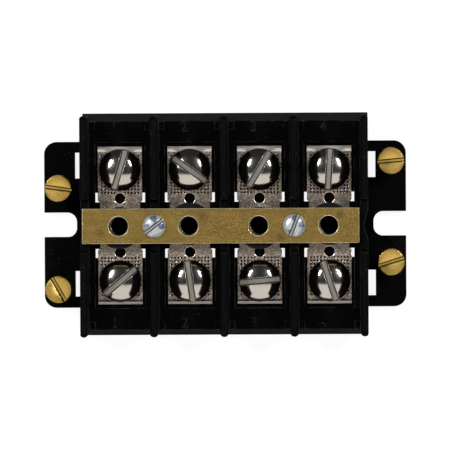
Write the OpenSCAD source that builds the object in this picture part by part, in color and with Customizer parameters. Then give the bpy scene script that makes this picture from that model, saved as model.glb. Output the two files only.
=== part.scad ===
// Shorting barrier terminal strip with four poles, in millimetres.
// The origin is the centre of the underside, X runs along the poles and Z is up.
// Each pole has a plate with two wire screws. A brass bar crosses all the poles
// on spacers, and four brass screws wait in the flanges to join it to the plates.

/* [Poles] */
// Distance from one pole to the next
pole_pitch = 15.875; // [15.6:0.1:18]
// Distance between the two wire screws of a pole
screw_spacing = 25.4; // [25:0.1:26.4]

/* [Body] */
// Length of the body across the row, at the underside
body_length = 50.9; // [50.4:0.1:54]
// How far each end of the body leans in up to the floor
end_lean = 1.7; // [0.2:0.1:1.8]
// Height of the floor of the wire bays above the underside
floor_height = 12; // [11.4:0.1:15]
// Wall round the hollows of the underside
moulding_wall = 2.2; // [1.8:0.1:2.6]
// Radius in the corners of these hollows
hollow_radius = 1; // [0.5:0.1:1.4]
// How much wider the windows at the hooks are below the floor
window_relief = 1.1; // [0.6:0.1:1.1]
// How much longer these windows are there, at each end
window_end_relief = 0.4; // [0.1:0.1:0.6]

/* [Barriers] */
// Height of the barriers above the underside
barrier_height = 25.4; // [23:0.1:30]
// Thickness of the inner barriers at the floor
barrier_thickness = 2; // [1.6:0.1:2.4]
// Thickness of the two end walls at the floor
end_wall_thickness = 1.85; // [1.6:0.05:2.2]
// How much thinner a barrier is at its top
barrier_draft = 0.2; // [0.1:0.05:0.4]
// Radius along the top edges
barrier_edge_radius = 0.4; // [0.2:0.05:0.6]
// Radius of the outer top corners, seen from the side
barrier_corner_radius = 1.2; // [0.6:0.1:3]
// How far the barriers stop short of the ends of the underside
barrier_setback = 0.4; // [0.1:0.05:0.6]
// Radius in the corners of the dip for the bar
dip_radius = 1; // [0.4:0.1:1.6]
// Length of the relief in the end walls beside the mounting slots
relief_length = 8.4; // [6:0.1:10]
// Depth of this relief
relief_depth = 0.95; // [0.5:0.05:1.1]

/* [Guide blocks] */
// Length of the low blocks beside the ends of the barriers
block_length = 1.8; // [1:0.1:2.2]
// Height of these blocks above the floor
block_height = 1.6; // [0.8:0.1:2.4]
// Distance from the edge of the floor to these blocks
block_inset = 0.1; // [0:0.1:0.8]

/* [Hooks] */
// Length of the windows under the hooks
window_length = 3.85; // [3.7:0.05:4.1]
// Width of these windows
window_width = 2; // [1.6:0.1:2.1]
// Distance from the middle of the pole to these windows
window_start = 3.6; // [3.5:0.1:3.8]
// Length of a hook
hook_length = 1.7; // [1.2:0.05:2]
// How far a hook reaches over the edge of its plate
hook_grip = 0.5; // [0.4:0.05:0.7]
// Height of a hook above its plate
hook_height = 1.2; // [0.9:0.1:1.6]

/* [Flanges] */
// How far each flange reaches beyond its end wall
flange_reach = 8.72; // [8.6:0.02:12]
// Width of the flanges
flange_width = 37.95; // [37:0.05:42]
// Thickness of the flanges
flange_thickness = 4; // [3.6:0.1:5.5]
// Radius of the outer corners
flange_corner_radius = 2.8; // [1:0.1:4]
// Width of the mounting slots
slot_width = 5.65; // [5.2:0.05:6.2]
// Depth of the mounting slots
slot_depth = 7.45; // [6.8:0.05:7.6]
// Radius in the closed end of the mounting slots
slot_end_radius = 2.2; // [1:0.1:2.5]
// Length of the windows beside the end walls
side_window_length = 5.95; // [5:0.05:6.4]
// Width of these windows
side_window_width = 1.75; // [1.4:0.05:2]
// Distance from the centre line to the middle of these windows
side_window_place = 13.55; // [12.5:0.05:14]

/* [Terminal plates] */
// Width of a plate
plate_width = 10.16; // [9.8:0.02:10.3]
// Thickness of a plate
plate_thickness = 0.9; // [0.8:0.05:1.1]
// Distance from the wire screws to the ends of the plate
plate_overhang = 5.3; // [5.25:0.05:5.7]
// Angle of the turned up tabs above level
tab_angle = 40; // [34:1:41]
// Radius of the upper face of the tabs
tab_radius = 1.1; // [0.9:0.05:1.2]
// Wall of the tapped collars under a plate
collar_wall = 1; // [0.8:0.05:1.2]
// Length of the collars below the plate
collar_length = 1.6; // [1:0.1:2.5]
// Diameter of the two small holes of a plate
small_hole_diameter = 2.3; // [1.8:0.05:2.4]
// Distance from the middle of the plate to the small holes
small_hole_place = 6.1; // [5.8:0.05:6.4]
// Depth of the notches at the hooks
notch_depth = 0.25; // [0.15:0.05:0.3]

/* [Wire screws] */
// Diameter of the head
wire_head_diameter = 9.5; // [9:0.1:9.8]
// Height of the head
wire_head_height = 2.6; // [2.5:0.1:3.2]
// Height of the rim of the head above the plate
wire_rim_height = 1.3; // [1.1:0.05:1.4]
// Diameter over the thread
wire_thread_diameter = 4.75; // [4.4:0.05:4.85]
// Length below the head
wire_shank_length = 7.9; // [7:0.1:8.4]
// Width of the slot
wire_slot_width = 1.5; // [1.2:0.05:1.8]
// Depth of the slot
wire_slot_depth = 1.1; // [0.8:0.05:1.2]
// Width of the hollow under the head, round the thread
wire_undercut_width = 0.7; // [0.5:0.05:0.9]
// Depth of this hollow
wire_undercut_depth = 0.25; // [0.15:0.05:0.3]

/* [Shorting bar] */
// Width of the bar
bar_width = 7.94; // [7:0.02:8.6]
// Thickness of the bar
bar_thickness = 2.4; // [1.6:0.1:3]
// Distance from the outer face of the left end wall to the bar, when it lies in the middle
bar_left_inset = 0.65; // [0.2:0.05:1]
// Distance from the outer face of the right end wall to the bar, when it lies in the middle
bar_right_inset = 1.9; // [0.2:0.05:2]
// How far the bar lies to the right, within the play of its screws
bar_shift = -0.2; // [-0.2:0.05:0.2]
// Chamfer round the large holes
bar_hole_chamfer = 0.14; // [0.1:0.02:0.4]

/* [Spacers] */
// Outer diameter of a spacer
spacer_diameter = 9.5; // [8.6:0.1:9.6]
// Height of a spacer, which sets the height of the bar
spacer_height = 5.5; // [4.6:0.1:7]

/* [Bar screws] */
// Diameter of the head
bar_screw_head_diameter = 5.1; // [4.8:0.1:5.6]
// Height of the head
bar_screw_head_height = 1.7; // [1.5:0.1:2.2]
// Height of the rim of the head
bar_screw_rim_height = 1.1; // [0.95:0.05:1.3]
// Diameter over the thread
bar_screw_thread_diameter = 2.85; // [2.5:0.05:2.9]
// Length below the head
bar_screw_shank_length = 7.9; // [6.5:0.1:9]
// Width of the slot
bar_screw_slot_width = 0.9; // [0.7:0.05:1.1]
// Depth of the slot
bar_screw_slot_depth = 0.9; // [0.6:0.05:1.2]
// Wall of the bosses that take these screws
boss_wall = 1.25; // [1:0.05:1.3]

/* [Shorting screws] */
// Diameter of the head
shorting_head_diameter = 6.1; // [5.8:0.1:6.6]
// Height of the head
shorting_head_height = 2.4; // [2:0.1:2.8]
// Diameter over the thread
shorting_thread_diameter = 4.1; // [3.9:0.05:4.15]
// Length below the head
shorting_shank_length = 11.1; // [10:0.1:12]
// Width of the slot
shorting_slot_width = 0.95; // [0.8:0.05:1.2]
// Depth of the slot
shorting_slot_depth = 1.2; // [0.8:0.1:1.4]
// Chamfer round the top of the head
shorting_chamfer = 0.2; // [0.1:0.05:0.4]
// Distance from the outer edge of the flange to a stored screw
stored_screw_edge = 3.55; // [3.3:0.05:3.8]
// Distance from the centre line to the inner two
stored_screw_near = 8.54; // [8.2:0.02:9]
// Distance from the centre line to the outer two
stored_screw_far = 14.48; // [14:0.02:15]
// Height of their tips above the underside
stored_tip_height = 0.2; // [0.1:0.1:1]

/* [Fits] */
// Room round a screw in its tapped hole, on each side
thread_clearance = 0.05; // [0.03:0.01:0.08]
// Room below the tip of a screw in a blind hole
tip_room = 1.7; // [1:0.1:2.2]
// Room round the shorting screws in the bar, on each side
bar_hole_clearance = 0.16; // [0.05:0.01:0.3]
// Room round the bar screws in the bar, on each side
bar_screw_clearance = 0.25; // [0.25:0.05:0.4]
// Room round the shorting screws in the spacers, on each side
spacer_clearance = 0.8; // [0.75:0.05:1]
// Room beside a plate in its pocket
plate_side_clearance = 0.62; // [0.5:0.01:0.7]
// Room between a plate and the ends of its pocket
plate_end_clearance = 0.9; // [0.4:0.05:1]
// Room round the collars in the wells
well_clearance = 0.7; // [0.5:0.05:0.8]
// Room between a head and the bend of its plate
tab_clearance = 0.05; // [0.03:0.01:0.1]
// Room beside the bar in the dip of the barriers
bar_side_clearance = 2.13; // [1:0.01:2.6]
// Room beyond a hook in the notch of a plate
notch_clearance = 0.3; // [0.2:0.05:0.4]

/* [Hidden] */
$fn = 64;
poles = 4;

// Colours as the object shows them
moulding_colour = "#202022";
spacer_colour = "#2c2c2e";
nickel_colour = "#a39a8f";
screw_colour = "#b9b8b6";
brass_colour = "#a98d4c";
zinc_colour = "#c3ccd6";

// A cut runs this far past the surface that it opens
overcut = 1;
// A piece that grows out of the moulding starts this deep in it
root = 0.5;

// How the screws happen to be turned, in degrees from X
upper_turns = [73.4, 144.4, 58.7, 86.5];
lower_turns = [39.9, 98.1, 5.3, 108.5];
bar_screw_turns = [37, 68];
shorting_turns = [172, 120, 5, 17];
// The spacers lie a little off the middle of their poles
spacer_offsets = [-0.5, 0.45, -0.65, 0.3];

// Heights above the underside
seat_height = floor_height - plate_thickness;
bar_height = floor_height + spacer_height;
bar_top = bar_height + bar_thickness;
wire_well_bottom = floor_height - wire_shank_length - tip_room;
middle_well_bottom = bar_top - shorting_shank_length - tip_room;
bar_screw_hole_bottom = bar_top - bar_screw_shank_length - tip_room;
stored_head_height = stored_tip_height + shorting_shank_length;

// Places along the row, where poles and barriers are counted from 1 at the left
function pole_x(i) = (i - (poles + 1) / 2) * pole_pitch;
function barrier_x(i) = (i - 1 - poles / 2) * pole_pitch;
function thickness_of(i) = (i == 1 || i == poles + 1) ? end_wall_thickness : barrier_thickness;
wall_face = poles / 2 * pole_pitch + end_wall_thickness / 2;
flange_half = wall_face + flange_reach;
bar_left = -wall_face + bar_left_inset;
bar_right = wall_face - bar_right_inset;
bar_screw_barriers = [2, 4];

// Places across the row
floor_half = body_length / 2 - end_lean;
barrier_half = body_length / 2 - barrier_setback;
plate_half = screw_spacing / 2 + plate_overhang;
tab_start = plate_half - (tab_radius + plate_thickness) * sin(tab_angle);
pocket_half = plate_half + plate_end_clearance;
hook_middle = window_start + hook_length / 2;
stored_x = flange_half - stored_screw_edge;
stored_places = [[-stored_x, stored_screw_near], [-stored_x, -stored_screw_far],
                 [stored_x, stored_screw_far], [stored_x, -stored_screw_near]];

// Widths and diameters that follow from fits
pocket_width = plate_width + 2 * plate_side_clearance;
dip_width = bar_width + 2 * bar_side_clearance;
wire_hole = wire_thread_diameter + 2 * thread_clearance;
wire_collar = wire_hole + 2 * collar_wall;
middle_hole = shorting_thread_diameter + 2 * thread_clearance;
middle_collar = middle_hole + 2 * collar_wall;
bar_screw_hole = bar_screw_thread_diameter + 2 * thread_clearance;
boss_diameter = bar_screw_hole + 2 * boss_wall;

// A rectangle with round corners, of plain shapes that stay true arcs
module round_rectangle(width, length, radius) {
    square([width - 2 * radius, length], center = true);
    square([width, length - 2 * radius], center = true);
    for (x = [-1, 1], y = [-1, 1])
        translate([x * (width / 2 - radius), y * (length / 2 - radius)]) circle(radius);
}

// Stands a drawing of (y, z) up and gives it a thickness along X, about the middle
module across(thickness) {
    rotate([90, 0, 90]) linear_extrude(thickness, center = true) children();
}

// Stands a drawing of (x, z) up and gives it a length along Y, about the middle
module along(length) {
    rotate([90, 0, 0]) linear_extrude(length, center = true) children();
}

// Side view of a barrier, with round outer corners and the dip for the bar
module barrier_side_view() {
    r = barrier_corner_radius;
    difference() {
        union() {
            translate([-barrier_half, 0]) square([2 * barrier_half, barrier_height - r]);
            translate([r - barrier_half, 0]) square([2 * (barrier_half - r), barrier_height]);
            for (y = [-1, 1]) translate([y * (barrier_half - r), barrier_height - r]) circle(r);
        }
        translate([0, bar_height + barrier_height / 2])
            round_rectangle(dip_width, barrier_height, dip_radius);
    }
}

// Section of a barrier, which tapers above the floor up to its round top edges
module barrier_section(thickness) {
    r = barrier_edge_radius;
    top = (thickness - barrier_draft) / 2;
    shoulder = barrier_height - r;
    slope = barrier_draft / 2 / (shoulder - floor_height);
    foot = top + slope * shoulder;
    polygon([[-foot, 0], [foot, 0], [top, shoulder], [-top, shoulder]]);
    translate([r - top, shoulder - overcut]) square([2 * (top - r), r + overcut]);
    for (x = [-1, 1]) translate([x * (top - r), shoulder]) circle(r);
}

// One barrier from the underside to its top, with round ends
module barrier(thickness) {
    straight = barrier_half - thickness / 2;
    intersection() {
        across(2 * thickness) barrier_side_view();
        along(body_length + overcut) barrier_section(thickness);
        union() {
            translate([-thickness / 2, -straight, 0]) cube([thickness, 2 * straight, barrier_height]);
            for (y = [-1, 1]) translate([0, y * straight, 0])
                cylinder(barrier_height, d = thickness);
        }
    }
}

// Closed end of a mounting slot to the left, open past the edge of the flange
module mounting_slot() {
    length = slot_depth + slot_end_radius + overcut;
    translate([flange_half - slot_depth + length / 2, 0])
        round_rectangle(length, slot_width, slot_end_radius);
}

// Both flanges, which are one plate that runs under the body
module flanges() {
    linear_extrude(flange_thickness) difference() {
        round_rectangle(2 * flange_half, flange_width, flange_corner_radius);
        for (turn = [0, 180]) rotate(turn) {
            mounting_slot();
            for (y = [-1, 1])
                translate([wall_face, y * side_window_place - side_window_length / 2])
                    square([side_window_width, side_window_length]);
        }
    }
}

// Block under the floor, whose two ends lean in
module block() {
    half = body_length / 2;
    across(2 * wall_face)
        polygon([[-half, 0], [half, 0], [floor_half, floor_height], [-floor_half, floor_height]]);
}

// Smooth hollow in the outer face of an end wall, above the flange
module wall_relief(steps = 16) {
    curve = [for (i = [0 : steps]) let (t = 2 * i / steps - 1)
        [wall_face - relief_depth * (1 + cos(180 * t)) / 2, t * relief_length / 2]];
    translate([0, 0, flange_thickness]) linear_extrude(barrier_height)
        polygon(concat(curve, [[wall_face + overcut, relief_length / 2],
                               [wall_face + overcut, -relief_length / 2]]));
}

// What is cut out of the block at one pole
module pole_cuts() {
    translate([-pocket_width / 2, -pocket_half, seat_height])
        cube([pocket_width, 2 * pocket_half, plate_thickness + overcut]);
    for (y = [-1, 1]) translate([0, y * screw_spacing / 2, wire_well_bottom])
        cylinder(floor_height, d = wire_collar + 2 * well_clearance);
    translate([0, 0, middle_well_bottom])
        cylinder(floor_height, d = middle_collar + 2 * well_clearance);
    for (x = [0, 1], y = [0, 1]) mirror([x, 0, 0]) mirror([0, y, 0]) window();
    for (y = [-1, 1]) end_hollow(y);
}

// Window beside a plate, which opens out below the floor
module window() {
    inner = pocket_width / 2 - window_width;
    translate([inner, window_start, 0]) cube([window_width, window_length, floor_height]);
    translate([inner, window_start - window_end_relief, -overcut])
        cube([window_width + window_relief, window_length + 2 * window_end_relief,
              seat_height - moulding_wall + overcut]);
}

// Hollow of the underside between the end of the body and the nearest well
module end_hollow(side) {
    near = (screw_spacing + wire_collar) / 2 + well_clearance + moulding_wall / 2;
    far = floor_half - moulding_wall;
    height = floor_height - moulding_wall;
    translate([0, side * (near + far) / 2, -overcut]) linear_extrude(height + overcut)
        round_rectangle(pole_pitch - moulding_wall, far - near, hollow_radius);
}

// Hook over the right edge of a plate, drawn in (x, z)
module hook_outline() {
    nose = plate_width / 2 - hook_grip;
    edge = pocket_width / 2;
    foot = edge + root;
    polygon([[nose, floor_height], [edge, floor_height], [edge, floor_height - root],
             [foot, floor_height - root], [foot, floor_height + hook_height],
             [edge, floor_height + hook_height], [nose, floor_height + hook_height / 2]]);
}

// What stands on the block at one pole: four hooks and four guide blocks
module pole_additions() {
    guide_width = (pole_pitch - barrier_thickness - pocket_width) / 2 + root;
    guide_middle = floor_half - block_inset - block_length / 2;
    for (x = [0, 1], y = [-1, 1]) mirror([x, 0, 0]) {
        translate([0, y * hook_middle, 0]) along(hook_length) hook_outline();
        translate([pocket_width / 2, y * guide_middle - block_length / 2, floor_height - root])
            cube([guide_width, block_length, block_height + root]);
    }
}

// Rest for the end of the bar, on the inside of the right end wall
module bar_rest() {
    inner = pole_x(poles) + pocket_width / 2;
    length = 2 * window_start - 2 * root;
    translate([inner, -length / 2, floor_height - root])
        cube([wall_face - end_wall_thickness / 2 - inner, length, spacer_height + root]);
}

module base() {
    color(moulding_colour) difference() {
        union() {
            difference() {
                union() {
                    block();
                    flanges();
                    for (i = [1 : poles + 1])
                        translate([barrier_x(i), 0, 0]) barrier(thickness_of(i));
                }
                for (i = [1 : poles]) translate([pole_x(i), 0, 0]) pole_cuts();
            }
            for (i = [1 : poles]) translate([pole_x(i), 0, 0]) pole_additions();
            for (x = [0, 1]) mirror([x, 0, 0]) bar_rest();
            for (i = bar_screw_barriers) translate([barrier_x(i), 0, seat_height - root])
                cylinder(bar_height - seat_height + root, d = boss_diameter);
        }
        for (x = [0, 1]) mirror([x, 0, 0]) wall_relief();
        for (i = bar_screw_barriers) translate([barrier_x(i), 0, bar_screw_hole_bottom])
            cylinder(bar_height, d = bar_screw_hole);
        for (place = stored_places) translate([place.x, place.y, -overcut])
            cylinder(flange_thickness + 2 * overcut, d = middle_hole);
    }
}

// Side view of a plate from its middle to its right tab, with the underside at zero
module half_plate_side_view() {
    t = plate_thickness;
    outer = tab_radius + t;
    square([tab_start, t]);
    translate([tab_start, outer]) intersection() {
        difference() {
            circle(outer);
            circle(tab_radius);
        }
        polygon([[0, 0], [0, -2 * outer], [2 * outer * tan(tab_angle), -2 * outer]]);
    }
}

module terminal_plate(i) {
    color(nickel_colour) translate([pole_x(i), 0, seat_height]) difference() {
        union() {
            across(plate_width) for (y = [0, 1]) mirror([y, 0]) half_plate_side_view();
            for (y = [-1, 1]) translate([0, y * screw_spacing / 2, -collar_length])
                cylinder(collar_length + plate_thickness / 2, d = wire_collar);
            translate([0, 0, -collar_length])
                cylinder(collar_length + plate_thickness / 2, d = middle_collar);
        }
        for (y = [-1, 1]) translate([0, y * screw_spacing / 2, -collar_length - overcut])
            cylinder(collar_length + plate_thickness + 2 * overcut, d = wire_hole);
        translate([0, 0, -collar_length - overcut])
            cylinder(collar_length + plate_thickness + 2 * overcut, d = middle_hole);
        for (y = [-1, 1]) translate([0, y * small_hole_place, -overcut])
            cylinder(plate_thickness + 2 * overcut, d = small_hole_diameter);
        for (x = [-1, 1], y = [-1, 1])
            translate([x * plate_width / 2, y * hook_middle, plate_thickness / 2])
                cube([2 * notch_depth, hook_length + 2 * notch_clearance, 2 * plate_thickness],
                     center = true);
    }
}

// Shank of a screw below the origin, with a chamfered tip
module shank(diameter, length, chamfer = 0.5) {
    translate([0, 0, chamfer - length]) cylinder(length - chamfer, d = diameter);
    translate([0, 0, -length])
        cylinder(chamfer, d1 = diameter - 2 * chamfer, d2 = diameter);
}

// Cuts a screwdriver slot along X into the top of a head
module slotted(head_height, head_diameter, width, depth) {
    difference() {
        children();
        translate([-head_diameter, -width / 2, head_height - depth])
            cube([2 * head_diameter, width, depth + overcut]);
    }
}

// Half section of a low domed head, cut to a height by the ball that passes its rim
module dome_section(diameter, height, rim) {
    radius = diameter / 2;
    rise = height - rim;
    ball = (radius * radius + rise * rise) / (2 * rise);
    intersection() {
        square([radius, height]);
        translate([0, height - ball]) circle(ball);
    }
}

// Wire screw, whose head bears on a ring and lifts clear of the bend of the plate
module wire_screw(turn) {
    radius = wire_head_diameter / 2;
    bearing = tab_start - screw_spacing / 2 - tab_clearance;
    lift = wire_rim_height / 3;
    undercut = [wire_thread_diameter / 2 + wire_undercut_width, wire_undercut_depth];
    color(screw_colour) rotate(turn)
        slotted(wire_head_height, wire_head_diameter, wire_slot_width, wire_slot_depth) {
            union() {
                rotate_extrude() difference() {
                    dome_section(wire_head_diameter, wire_head_height, wire_rim_height);
                    polygon([[bearing, 0], [radius, lift], [radius + overcut, lift],
                             [radius + overcut, -overcut], [bearing, -overcut]]);
                    translate([0, -undercut.y]) square(undercut + [0, undercut.y]);
                }
                translate([0, 0, undercut.y])
                    shank(wire_thread_diameter, wire_shank_length + undercut.y);
            }
        }
}

module upper_screw(i) {
    translate([pole_x(i), screw_spacing / 2, floor_height]) wire_screw(upper_turns[i - 1]);
}

module lower_screw(i) {
    translate([pole_x(i), -screw_spacing / 2, floor_height]) wire_screw(lower_turns[i - 1]);
}

module spacer(i) {
    hole = shorting_thread_diameter + 2 * spacer_clearance;
    color(spacer_colour) translate([pole_x(i), spacer_offsets[i - 1], floor_height]) difference() {
        cylinder(spacer_height, d = spacer_diameter);
        translate([0, 0, -overcut]) cylinder(spacer_height + 2 * overcut, d = hole);
    }
}

module shorting_bar() {
    hole = shorting_thread_diameter + 2 * bar_hole_clearance;
    small_hole = bar_screw_thread_diameter + 2 * bar_screw_clearance;
    chamfer = bar_hole_chamfer;
    color(brass_colour) translate([bar_shift, 0, bar_height]) difference() {
        translate([bar_left, -bar_width / 2, 0])
            cube([bar_right - bar_left, bar_width, bar_thickness]);
        for (i = [1 : poles]) translate([pole_x(i), 0, 0]) {
            translate([0, 0, -overcut]) cylinder(bar_thickness + 2 * overcut, d = hole);
            translate([0, 0, bar_thickness - chamfer])
                cylinder(2 * chamfer, d1 = hole, d2 = hole + 4 * chamfer);
        }
        for (i = bar_screw_barriers) translate([barrier_x(i), 0, -overcut])
            cylinder(bar_thickness + 2 * overcut, d = small_hole);
    }
}

module bar_screw(i) {
    color(zinc_colour)
        translate([barrier_x(bar_screw_barriers[i - 1]), 0, bar_top]) rotate(bar_screw_turns[i - 1])
            slotted(bar_screw_head_height, bar_screw_head_diameter,
                    bar_screw_slot_width, bar_screw_slot_depth) {
                union() {
                    rotate_extrude()
                        dome_section(bar_screw_head_diameter, bar_screw_head_height,
                                     bar_screw_rim_height);
                    shank(bar_screw_thread_diameter, bar_screw_shank_length);
                }
            }
}

module shorting_screw(i) {
    straight = shorting_head_height - shorting_chamfer;
    color(brass_colour)
        translate([stored_places[i - 1].x, stored_places[i - 1].y, stored_head_height])
            rotate(shorting_turns[i - 1])
                slotted(shorting_head_height, shorting_head_diameter,
                        shorting_slot_width, shorting_slot_depth) {
                    union() {
                        cylinder(straight, d = shorting_head_diameter);
                        translate([0, 0, straight])
                            cylinder(shorting_chamfer, d1 = shorting_head_diameter,
                                     d2 = shorting_head_diameter - 2 * shorting_chamfer);
                        shank(shorting_thread_diameter, shorting_shank_length);
                    }
                }
}

base();
terminal_plate(1);  // terminal_plate_1
terminal_plate(2);  // terminal_plate_2
terminal_plate(3);  // terminal_plate_3
terminal_plate(4);  // terminal_plate_4
upper_screw(1);  // upper_screw_1
upper_screw(2);  // upper_screw_2
upper_screw(3);  // upper_screw_3
upper_screw(4);  // upper_screw_4
lower_screw(1);  // lower_screw_1
lower_screw(2);  // lower_screw_2
lower_screw(3);  // lower_screw_3
lower_screw(4);  // lower_screw_4
spacer(1);  // spacer_1
spacer(2);  // spacer_2
spacer(3);  // spacer_3
spacer(4);  // spacer_4
shorting_bar();
bar_screw(1);  // bar_screw_1
bar_screw(2);  // bar_screw_2
shorting_screw(1);  // shorting_screw_1
shorting_screw(2);  // shorting_screw_2
shorting_screw(3);  // shorting_screw_3
shorting_screw(4);  // shorting_screw_4
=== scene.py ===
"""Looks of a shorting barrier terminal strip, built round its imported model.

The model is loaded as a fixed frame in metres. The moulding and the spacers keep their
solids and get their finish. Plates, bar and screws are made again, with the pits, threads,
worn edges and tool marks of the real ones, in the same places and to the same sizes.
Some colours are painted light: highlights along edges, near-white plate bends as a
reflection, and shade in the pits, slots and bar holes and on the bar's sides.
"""

import math

import bmesh
import bpy
from bpy.props import FloatProperty, FloatVectorProperty, IntProperty, PointerProperty
from mathutils import Matrix, Vector


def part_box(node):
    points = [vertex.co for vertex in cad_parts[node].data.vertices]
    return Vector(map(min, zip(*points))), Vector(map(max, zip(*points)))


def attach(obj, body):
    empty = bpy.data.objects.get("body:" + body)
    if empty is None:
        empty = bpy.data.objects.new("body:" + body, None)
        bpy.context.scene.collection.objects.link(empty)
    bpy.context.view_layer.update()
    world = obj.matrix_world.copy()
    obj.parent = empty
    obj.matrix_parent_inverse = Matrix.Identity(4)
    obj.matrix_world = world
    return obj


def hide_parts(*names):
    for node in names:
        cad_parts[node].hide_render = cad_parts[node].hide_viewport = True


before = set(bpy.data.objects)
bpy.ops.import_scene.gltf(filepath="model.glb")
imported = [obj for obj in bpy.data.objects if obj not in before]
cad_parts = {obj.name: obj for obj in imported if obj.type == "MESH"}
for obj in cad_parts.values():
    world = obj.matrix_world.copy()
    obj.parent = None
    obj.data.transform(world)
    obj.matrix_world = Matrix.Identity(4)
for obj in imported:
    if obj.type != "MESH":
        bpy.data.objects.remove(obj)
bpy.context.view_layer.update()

bl_info = {
    "name": "Barrier Terminal Strip",
    "version": (1, 0, 0),
    "blender": (4, 5, 0),
    "location": "View3D > Sidebar > Terminal Strip",
    "description": "Dresses the packed terminal strip and sets it on a studio floor",
    "category": "Object",
}

MM = 0.001
POLES = (1, 2, 3, 4)
PLATE_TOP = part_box("spacer_1")[0][2]  # the spacers stand on the plates
BAR_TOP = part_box("shorting_bar")[1][2]

# Turns of the screwdriver slots, in degrees from X
UPPER_TURNS = (73.4, 144.4, 58.7, 86.5)
LOWER_TURNS = (39.9, 98.1, 5.3, 108.5)
BAR_SCREW_TURNS = (37, 68)
SHORTING_TURNS = (172, 120, 5, 17)

# Places on the solids, as distances from the middle of the strip or of a plate
SHINE_START = 13 * MM  # height from which the moulding is less dull
FLANGE_START = 33.5 * MM
SIDE_EDGES = 4.7 * MM
SMALL_HOLES = 6.1 * MM
SMALL_HOLE_REACH = 1.3 * MM
SCREW_HOLES = 12.7 * MM
SCREW_HOLE_REACH = 2.75 * MM
PITS_END = 16.3 * MM
BEND_START = 16.4 * MM
BAR_HOLES = (30 * MM, 3.5 * MM)
SHEET_END = -1.0 * MM  # the sheet of a plate lies above this, its collars reach below

# Details of the screws and the numerals
FOOT_RADIUS = 3.98 * MM
RECESS_RADIUS = 3.1 * MM
RECESS_DEPTH = 0.25 * MM
TOOL_EDGE = 0.06 * MM
TIP_CHAMFER = 0.5 * MM
THREAD_STEPS = 28
SHORTEST_EDGE = 0.008 * MM  # points of a screw that lie closer than this become one
DIGIT_SHARE = 0.7  # height of a digit in a text of size 1

# Tolerances of the mesh work
SAME_POINT = 0.001 * MM
ON_TOP = 0.01 * MM
PLANE_GAP = 1e-7
ON_PLANE = 1e-6

# How far the normal of a face points up or down
UPRIGHT, NEARLY_LEVEL, LEVEL = 0.3, 0.95, 0.9999

# Places of the finishes in the material lists of a plate, a screw and the bar
PIT, SHEARED = 1, 2
CUT, THREAD = 1, 2
# On the bar, hole walls are painted near black as shade, slanted edge faces near white as a
# highlight
HOLE_SHADE, EDGE_HIGHLIGHT = 1, 2

# The studio. Lamps look at the origin from a distance, at an azimuth and an elevation
LAMP_DISTANCE = 1.0
SOFTBOX_SIZE = (0.165, 0.27)
SOFTBOX_SPREAD = 57
SOFTBOX_ELEVATION = 63
CARD_SIZE = (1.06, 1.0)
CARD_ELEVATION = 54.5
CREAM = (1.0, 0.95, 0.87)
SURROUNDINGS = (0.03, 0.03, 0.031, 1)
FLOOR_RADIUS = 12.0
FLOOR_GAP = 0.02 * MM
SENSOR_WIDTH = 36
IMAGE_WIDTH = 450
IMAGE_MIDDLE = (-0.5, -1.2)  # in pixels from the object's origin


# Shader maths

class Wire:
    """One output of a material's node. Arithmetic on it adds Math nodes."""

    def __init__(self, recipe, socket):
        self.recipe = recipe
        self.socket = socket

    def maths(self, operation, first, second=0.0):
        return self.recipe.node("ShaderNodeMath", {"operation": operation}, {0: first, 1: second})

    def __add__(self, other):
        return self.maths("ADD", self, other)

    def __radd__(self, other):
        return self.maths("ADD", other, self)

    def __sub__(self, other):
        return self.maths("SUBTRACT", self, other)

    def __rsub__(self, other):
        return self.maths("SUBTRACT", other, self)

    def __mul__(self, other):
        return self.maths("MULTIPLY", self, other)

    def __rmul__(self, other):
        return self.maths("MULTIPLY", other, self)

    def __abs__(self):
        return self.maths("ABSOLUTE", self)

    def above(self, level, width):
        """A mask that rises from 0 at a level to 1 a width above it."""
        return self.recipe.node("ShaderNodeMapRange", {"interpolation_type": "SMOOTHSTEP"},
                                {"Value": self, "From Min": level, "From Max": level + width})


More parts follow.
